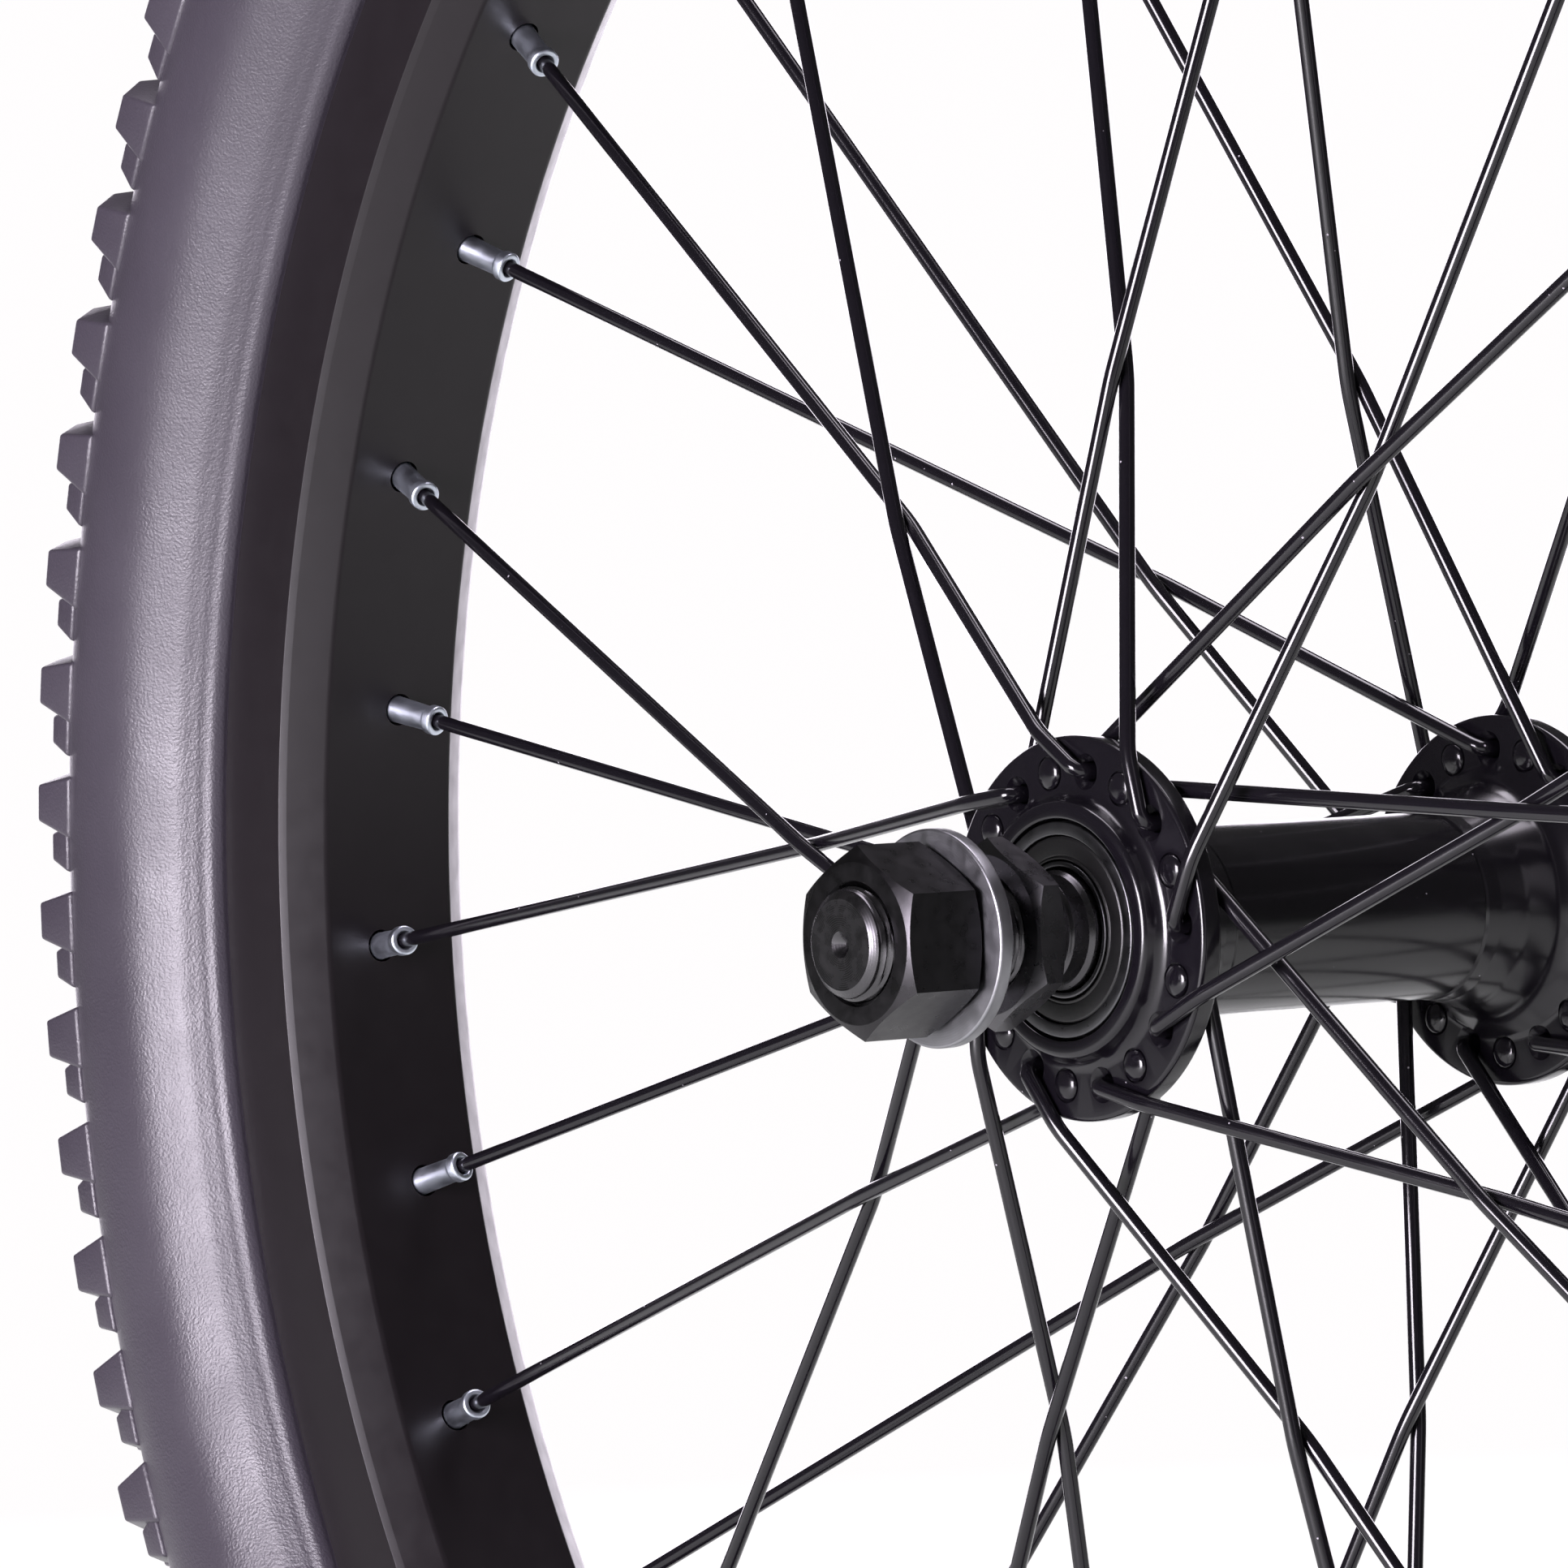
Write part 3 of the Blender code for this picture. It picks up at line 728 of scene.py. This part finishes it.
def build_rim(spokes, satin):
    """The single-wall rim, with its nipple holes and the valve's hole."""
    edge, wide = RIM_RADIUS / MM, RIM_HALF_WIDTH / MM
    half = [
        (edge - 17.6, 10.5, 1.4),
        (edge - 14.0, wide - 0.8, 0.2),
        (edge - 13.2, wide, 0.2),
        (edge, wide, 0.45),
        (edge, wide - RIM_WALL, 0.4),
        (edge - RIM_WALL_HEIGHT, wide - RIM_WALL, 0.5),
        (edge - 6.4, 9.5, 1.0),
        (edge - 15.6, 8.0, 1.5),
    ]
    outline = rounded(both_sides(half), closed=True)
    rim = piece("rim_hoop", turned(outline, RIM_STEPS), satin, "wheel", ["rim"])
    holes = []
    for spoke in spokes.values():
        reach = NIPPLE_HOLE_REACH * spoke.along
        holes.append(rod(spoke.seat - reach, spoke.seat + reach, NIPPLE_HOLE_RADIUS, HOLE_STEPS))
    outward = round_the_wheel(VALVE_ANGLE)
    start, end = outward * VALVE_HOLE_START * MM, outward * VALVE_HOLE_END * MM
    holes.append(rod(start, end, VALVE_HOLE_RADIUS, SMALL_STEPS))
    carve(rim, joined(holes))


# ---------------------------------------------------------------- hub


def spoke_hole(spoke):
    """The cutter for a spoke's hole: sunk for the head on one face, wider for the elbow on the other."""
    if spoke.outer:
        elbow_face, head_face, way = FLANGE_OUTER_Y, FLANGE_INNER_Y, 1
    else:
        elbow_face, head_face, way = FLANGE_INNER_Y, FLANGE_OUTER_Y, -1
    profile = [
        (0.0, head_face - way * MM),
        (HEAD_POCKET_RADIUS, head_face - way * MM),
        (HEAD_POCKET_RADIUS, head_face + way * HEAD_POCKET_DEPTH * MM),
        (SPOKE_HOLE_RADIUS, head_face + way * HEAD_POCKET_DEPTH * MM),
        (SPOKE_HOLE_RADIUS, elbow_face - way * ELBOW_MOUTH_DEPTH * MM),
        (ELBOW_MOUTH_RADIUS, elbow_face + way * 0.02 * MM),
        (ELBOW_MOUTH_RADIUS, elbow_face + way * MM),
        (0.0, elbow_face + way * MM),
    ]
    cutter = skin([circle(radius * MM, spoke.side * y, SMALL_STEPS) for radius, y in profile])
    bmesh.ops.translate(cutter, verts=cutter.verts, vec=spoke.hub)
    return cutter


def build_hub(spokes, gloss):
    """The hub shell: barrel, flared flanges and the bosses round the bearings."""
    end, flange = HUB_END_Y / MM, FLANGE_RADIUS / MM
    outer, inner = FLANGE_OUTER_Y / MM, FLANGE_INNER_Y / MM
    half = [
        (11.5, 8.0, 0),
        (11.6, 20.2, 0),
        (11.45, 20.4, 0),
        (11.75, 20.7, 0),
        (12.0, 22.5, 3),
        (12.8, 26.2, 8),
        (14.4, 30.8, 4),
        (17.2, inner, 1.8),
        (flange, inner, 0.6),
        (flange, outer, 0.6),
        (16.1, outer, 2.1),
        (15.3, end, 0.9),
        (13.3, end, 0.35),
        (13.3, 31.0, 0.2),
        (9.5, 31.0, 0.3),
    ]
    outline = rounded(both_sides(half), closed=True, pieces=6)
    hub = piece("hub_body", turned(outline, HUB_STEPS), gloss, "wheel", ["hub_shell"], sharp=30)
    carve(hub, joined([spoke_hole(spoke) for spoke in spokes.values()]))


def build_bearings(race, seal_rubber, ball_steel):
    """Two sealed bearings: an outer ring, an inner ring, balls and two seals each."""
    outer = [(12.98, 3.5, 0.25), (11.35, 3.5, 0.2), (11.35, 2.3, 0.1), (12.25, 1.0, 0.3)]
    inner = [(7.52, 3.5, 0.2), (8.2, 3.5, 0.2), (8.3, 2.3, 0.1), (8.8, 2.1, 0.1), (8.4, 1.0, 0.3)]
    for label, side in (("left", -1), ("right", 1)):
        place = Matrix.Translation((0, side * BEARING_MIDDLE_Y, 0))
        for kind, half, body in (("outer", outer, "wheel"), ("inner", inner, "axle_assembly")):
            bm = turned(rounded(both_sides(half), closed=True, pieces=3), BEARING_STEPS)
            node = f"bearing_{kind}_race_{label}"
            piece(f"bearing_ring_{kind}_{label}", bm, race, body, [node], place)
        build_balls(label, place, ball_steel)
        build_seals(label, side, place, seal_rubber)


def build_balls(label, place, steel):
    """The balls of one bearing and the ring that joins them."""
    ring = both_sides([(9.9, 0.5, 0.1), (10.7, 0.5, 0.1)])
    parts = [turned(rounded(ring, closed=True, pieces=2), CAGE_STEPS)]
    for index in range(BALL_COUNT):
        ball = bmesh.new()
        centre = BALL_CIRCLE_RADIUS * round_the_wheel(2 * math.pi * index / BALL_COUNT)
        middle = Matrix.Translation(centre)
        bmesh.ops.create_uvsphere(ball, u_segments=24, v_segments=14, radius=BALL_RADIUS, matrix=middle)
        parts.append(ball)
    body, node = f"cage_{label}", f"bearing_cage_{label}"
    piece(f"bearing_balls_{label}", joined(parts), steel, body, [node], place)


def build_seals(label, side, place, rubber):
    """The two seals of one bearing, each with a raised outer rim and a lip."""
    profile = [
        (8.45, 2.5, 0.1),
        (11.2, 2.5, 0.1),
        (11.2, 3.1, 0.15),
        (10.9, 3.3, 0.1),
        (9.0, 3.3, 0.1),
        (8.85, 3.15, 0.1),
        (8.7, 3.35, 0.1),
        (8.45, 3.35, 0.1),
    ]
    for face, way in (("inside", -side), ("outside", side)):
        points = rounded(profile, closed=True, pieces=2)
        outline = [Vector((point.x, way * point.y)) for point in points]
        node = f"bearing_seal_{label}_{face}"
        bm = turned(outline, BEARING_STEPS)
        piece(f"seal_{label}_{face}", bm, rubber, "wheel", [node], place)


# ---------------------------------------------------------------- axle and its hardware


def thread_rings(start_y, end_y, outer_radius, pitch, depth, steps):
    """Rings of a true helical thread: the ridge climbs one pitch with each turn."""
    rows_a_turn = 6
    rows = int(round((end_y - start_y) / pitch * rows_a_turn))
    rings = []
    for row in range(rows + 1):
        y = start_y + (end_y - start_y) * row / rows
        fade = min(1, (y - start_y) / pitch, (end_y - y) / pitch)

        def radius(angle, y=y, fade=fade):
            phase = (y / pitch - angle / (2 * math.pi)) % 1
            return outer_radius - depth * fade * abs(2 * phase - 1) - depth * (1 - fade)

        rings.append(circle(radius, y, steps))
    return rings


def build_axle(steel):
    """The axle from tip to tip: a centre drilling, threads, bearing seats and a thicker middle."""
    tip, thread_start = AXLE_END_Y / MM, 42.6
    # (radius, distance from the end)
    end_face = [(0.4, 1.2), (1.6, 0), (5.4, 0), (6.1, 0.5)]
    rings = [circle(radius * MM, AXLE_END_Y - drop * MM, AXLE_STEPS) for radius, drop in end_face]
    thread = thread_rings(
        thread_start * MM,
        (tip - 0.7) * MM,
        AXLE_THREAD_RADIUS,
        AXLE_THREAD_PITCH,
        AXLE_THREAD_DEPTH,
        AXLE_STEPS,
    )
    rings += list(reversed(thread))
    middle = [
        (6.3, thread_start, 0),
        (6.3, 42.2, 0.1),
        (6.75, 41.8, 0.1),
        (6.75, 39.5, 0.1),
        (7.2, 38.9, 0.1),
        (7.2, 31.0, 0),
        (8.4, 31.0, 0.2),
        (8.4, 0, 0),
    ]
    rings += circles(rounded(middle, pieces=3)[1:-1], AXLE_STEPS)
    far_half = [[Vector((point.x, -point.y, point.z)) for point in ring] for ring in reversed(rings)]
    piece("axle_shaft", skin(rings + far_half), steel, "axle_assembly", ["axle"], sharp=30)


def chamfered_ring(across_flats, height, bore):
    """What a lathe leaves of a nut: a ring with chamfers outside and in the bore, along +Y from 0."""
    corner = across_flats / 2 / math.cos(math.pi / 6) / MM
    flat = across_flats / 2 / MM
    high, inner = height / MM, bore / MM
    drop = (corner - flat) * CHAMFER_SLOPE
    outline = [
        (inner, 0.5, 0),
        (inner + 0.5, 0, 0),
        (flat * NUT_FACE_SHARE, 0, 0.3),
        (corner + 0.1, drop + 0.1, 0),
        (corner + 0.1, high - drop - 0.1, 0),
        (flat * NUT_FACE_SHARE, high, 0.3),
        (inner + 0.5, high, 0),
        (inner, high - 0.5, 0),
    ]
    return turned(rounded(outline, closed=True, pieces=3), AXLE_STEPS)


def build_nut(name, node, across_flats, height, material, placement):
    """A hexagonal bar, cut to a nut by the ring that a lathe leaves."""
    bm = bmesh.new()
    along_y = Matrix.Translation((0, height / 2, 0)) @ Matrix.Rotation(math.pi / 2, 4, "X")
    corner = across_flats / 2 / math.cos(math.pi / 6)
    bar = height + 0.2 * MM
    bmesh.ops.create_cone(
        bm, cap_ends=True, segments=6, radius1=corner, radius2=corner, depth=bar, matrix=along_y
    )
    nut = piece(name, bm, material, "axle_assembly", [node])
    carve(nut, chamfered_ring(across_flats, height, NUT_BORE_RADIUS), "INTERSECT", 20)
    nut.data.transform(placement)


def build_washer(label, zinc):
    node = f"washer_{label}"
    low, high = (corner[1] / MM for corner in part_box(node))
    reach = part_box(node)[1][0] / MM
    bore = NUT_BORE_RADIUS / MM
    profile = [(bore, low, 0.1), (reach, low, 0.35), (reach, high, 0.35), (bore, high, 0.1)]
    bm = turned(rounded(profile, closed=True), BEARING_STEPS)
    piece(f"washer_ring_{label}", bm, zinc, "axle_assembly", [node])


def build_hardware(steel, black, zinc):
    """On each side a lock nut, an outer nut and the washer between them."""
    for label, side in (("left", -1), ("right", 1)):
        face = Matrix.Identity(4) if side > 0 else Matrix.Rotation(math.pi, 4, "Z")
        for kind, material, slot in (("lock_nut", steel, "axle_steel"), ("axle_nut", black, "nut_steel")):
            node = f"{kind}_{label}"
            low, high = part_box(node)
            start = min(abs(low[1]), abs(high[1]))
            across = min(high[0] - low[0], high[2] - low[2])
            place = face @ Matrix.Translation((0, start, 0))
            build_nut(f"{kind}_hex_{label}", node, across, high[1] - low[1], material, place)
        build_washer(label, zinc)


# ---------------------------------------------------------------- valve and inner tube


def build_valve(brass, plastic):
    """A Schrader stem with its thread, and a ribbed cap. Both are made along +Y, then turned into place."""
    outward = round_the_wheel(VALVE_ANGLE)
    place = Vector((0, 1, 0)).rotation_difference(outward).to_matrix().to_4x4()
    stem = [(3.85, 201.6, 0.1), (3.85, 178.0, 0.6), (3.0, 175.6, 0.4), (2.6, 175.4, 0)]
    rings = circles_mm([(4.9, 202.0), (4.9, 201.4)], STEM_STEPS)
    rings += circles(rounded(stem, pieces=4)[1:], STEM_STEPS)
    thread = thread_rings(166.4 * MM, 175.2 * MM, 3.8 * MM, 0.8 * MM, 0.4 * MM, STEM_STEPS)
    rings += list(reversed(thread))
    rings += circles_mm([(2.6, 166.0), (2.2, 166.0), (2.0, 167.0)], STEM_STEPS)
    piece("valve_schrader_stem", skin(rings), brass, "wheel", ["valve_stem"], place, 30)

    def ribbed(angle):
        return (CAP_RADIUS + RIB_HEIGHT * math.cos(CAP_RIBS * angle)) * MM

    rings = circles_mm([(4.15, 165.4), (4.15, 173.0), (4.7, 173.2)], CAP_STEPS)
    rings += circles([(ribbed, 172.9 * MM), (ribbed, 165.2 * MM)], CAP_STEPS)
    rings += circles_mm([(4.6, 164.4), (3.9, 163.5), (1.5, 163.2)], CAP_STEPS)
    piece("valve_dust_cap", skin(rings), plastic, "wheel", ["valve_cap"], place, 40)


def finish_hidden_rubber(rubber):
    """The CAD's own inner tube and rim strip stay, with a rubber finish."""
    for node in ("inner_tube", "rim_strip"):
        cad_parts[node].material_slots[0].material = rubber


# ---------------------------------------------------------------- stage


def build_stage():
    """A pale round floor that fades into a white surround, and four soft boxes."""
    build_floor()
    build_surround()
    for name, place, size, power in LAMPS:
        data = bpy.data.lights.new(name, "AREA")
        data.shape = "RECTANGLE"
        data.size, data.size_y = size
        data.energy = power
        data.color = LIGHT_TINT
        lamp = bpy.data.objects.new(name, data)
        lamp.location = place
        lamp.rotation_euler = Vector(place).to_track_quat("Z", "Y").to_euler()
        bpy.context.scene.collection.objects.link(lamp)


def build_floor():
    floor_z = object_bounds()[0][2]
    bm = bmesh.new()
    bmesh.ops.create_circle(bm, cap_ends=True, segments=FLOOR_STEPS, radius=FLOOR_RADIUS)
    mesh = bpy.data.meshes.new("floor")
    bm.to_mesh(mesh)
    bm.free()
    floor = bpy.data.objects.new("floor", mesh)
    floor.location = (0, 0, floor_z - FLOOR_GAP)
    bpy.context.scene.collection.objects.link(floor)
    mesh.materials.append(make_floor())


def make_floor():
    """A matt pale floor that glows white far out, and is clear when it is seen from below."""
    look = Shader("studio floor", (0.78, 0.83, 0.76), 0.7)
    distance = look.nodes.new("ShaderNodeVectorMath")
    distance.operation = "LENGTH"
    look.join(look.place, distance.inputs[0])
    rays = look.nodes.new("ShaderNodeLightPath")
    fade = look.ramp(distance.outputs["Value"], GLOW_START, GLOW_END, LEAST_GLOW, 1.0)
    fade = look.maths("MULTIPLY", fade, rays.outputs["Is Camera Ray"])
    glow = look.nodes.new("ShaderNodeEmission")
    glow.inputs["Color"].default_value = WHITE
    blend = look.nodes.new("ShaderNodeMixShader")
    look.join(fade, blend.inputs["Fac"])
    look.join(look.shader.outputs["BSDF"], blend.inputs[1])
    look.join(glow.outputs["Emission"], blend.inputs[2])
    side = look.nodes.new("ShaderNodeNewGeometry").outputs["Backfacing"]
    one_sided = look.nodes.new("ShaderNodeMixShader")
    clear = look.nodes.new("ShaderNodeBsdfTransparent")
    look.join(side, one_sided.inputs["Fac"])
    look.join(blend.outputs["Shader"], one_sided.inputs[1])
    look.join(clear.outputs["BSDF"], one_sided.inputs[2])
    look.join(one_sided.outputs["Shader"], look.nodes["Material Output"].inputs["Surface"])
    return look.material


def build_surround():
    """A surround that looks white and lights the wheel only a little."""
    world = bpy.data.worlds.new("surround")
    bpy.context.scene.world = world
    world.use_nodes = True
    tree = world.node_tree
    background = tree.nodes["Background"]
    background.inputs["Color"].default_value = WHITE
    rays = tree.nodes.new("ShaderNodeLightPath")
    strength = tree.nodes.new("ShaderNodeMapRange")
    strength.inputs["To Min"].default_value = SURROUND_LIGHT
    strength.inputs["To Max"].default_value = 1.0
    tree.links.new(rays.outputs["Is Camera Ray"], strength.inputs["Value"])
    tree.links.new(strength.outputs["Result"], background.inputs["Strength"])


def build_camera():
    """A long lens, close to level with the hub, from ahead of the left side."""
    level = math.cos(CAMERA_ELEVATION)
    sine, cosine = math.sin(CAMERA_AZIMUTH), math.cos(CAMERA_AZIMUTH)
    back = Vector((sine * level, -cosine * level, math.sin(CAMERA_ELEVATION)))
    level_right = Vector((cosine, sine, 0))
    level_up = back.cross(level_right)
    right = level_right * math.cos(CAMERA_ROLL) + level_up * math.sin(CAMERA_ROLL)
    up = level_up * math.cos(CAMERA_ROLL) - level_right * math.sin(CAMERA_ROLL)
    turn = Matrix((right, up, back)).transposed().to_4x4()
    data = bpy.data.cameras.new("camera")
    data.lens = CAMERA_LENS
    data.sensor_width = SENSOR_WIDTH
    camera = bpy.data.objects.new("camera", data)
    camera.matrix_world = Matrix.Translation(CAMERA_PLACE) @ turn
    bpy.context.scene.collection.objects.link(camera)
    bpy.context.scene.camera = camera


# ---------------------------------------------------------------- the whole wheel


def build_wheel():
    spokes = lacing()
    rubber = make_rubber()
    build_tyre(rubber)
    build_tread(rubber)
    build_rim(spokes, make_satin_black())

    spoke_black = make_gloss_black("gloss black spoke", 0.15, 0.22)
    nickel = make_metal("nickel", (0.60, 0.65, 0.74), (0.76, 0.81, 0.90), 0.36)
    build_spokes(spokes, spoke_black, nickel)
    build_hub(spokes, make_gloss_black("gloss black hub", 0.17, 0.1))

    race_steel = make_metal("ground race steel", (0.08, 0.08, 0.085), (0.13, 0.13, 0.135), 0.3, 0.00018)
    ball_steel = make_metal("ball steel", (0.6, 0.6, 0.6), (0.75, 0.75, 0.75), 0.12)
    smooth_rubber = make_seal()
    build_bearings(race_steel, smooth_rubber, ball_steel)

    axle_steel = make_metal("dark turned steel", (0.085, 0.083, 0.088), (0.12, 0.117, 0.122), 0.26, 0.00025)
    build_axle(axle_steel)

    lock_nut_steel = make_metal("machined nut steel", (0.10, 0.098, 0.104), (0.14, 0.137, 0.144), 0.28)
    nut_steel = make_metal("black oxide steel", (0.035, 0.034, 0.036), (0.052, 0.050, 0.053), 0.3)
    zinc = make_metal("zinc plate", (0.24, 0.24, 0.25), (0.34, 0.34, 0.36), 0.36, 0.0003)
    build_hardware(lock_nut_steel, nut_steel, zinc)

    brass = make_metal("valve brass", (0.5, 0.4, 0.22), (0.72, 0.6, 0.36), 0.28)
    build_valve(brass, make_plastic())
    finish_hidden_rubber(smooth_rubber)


build_wheel()
build_stage()
build_camera()
bpy.context.scene.view_settings.view_transform = "Standard"
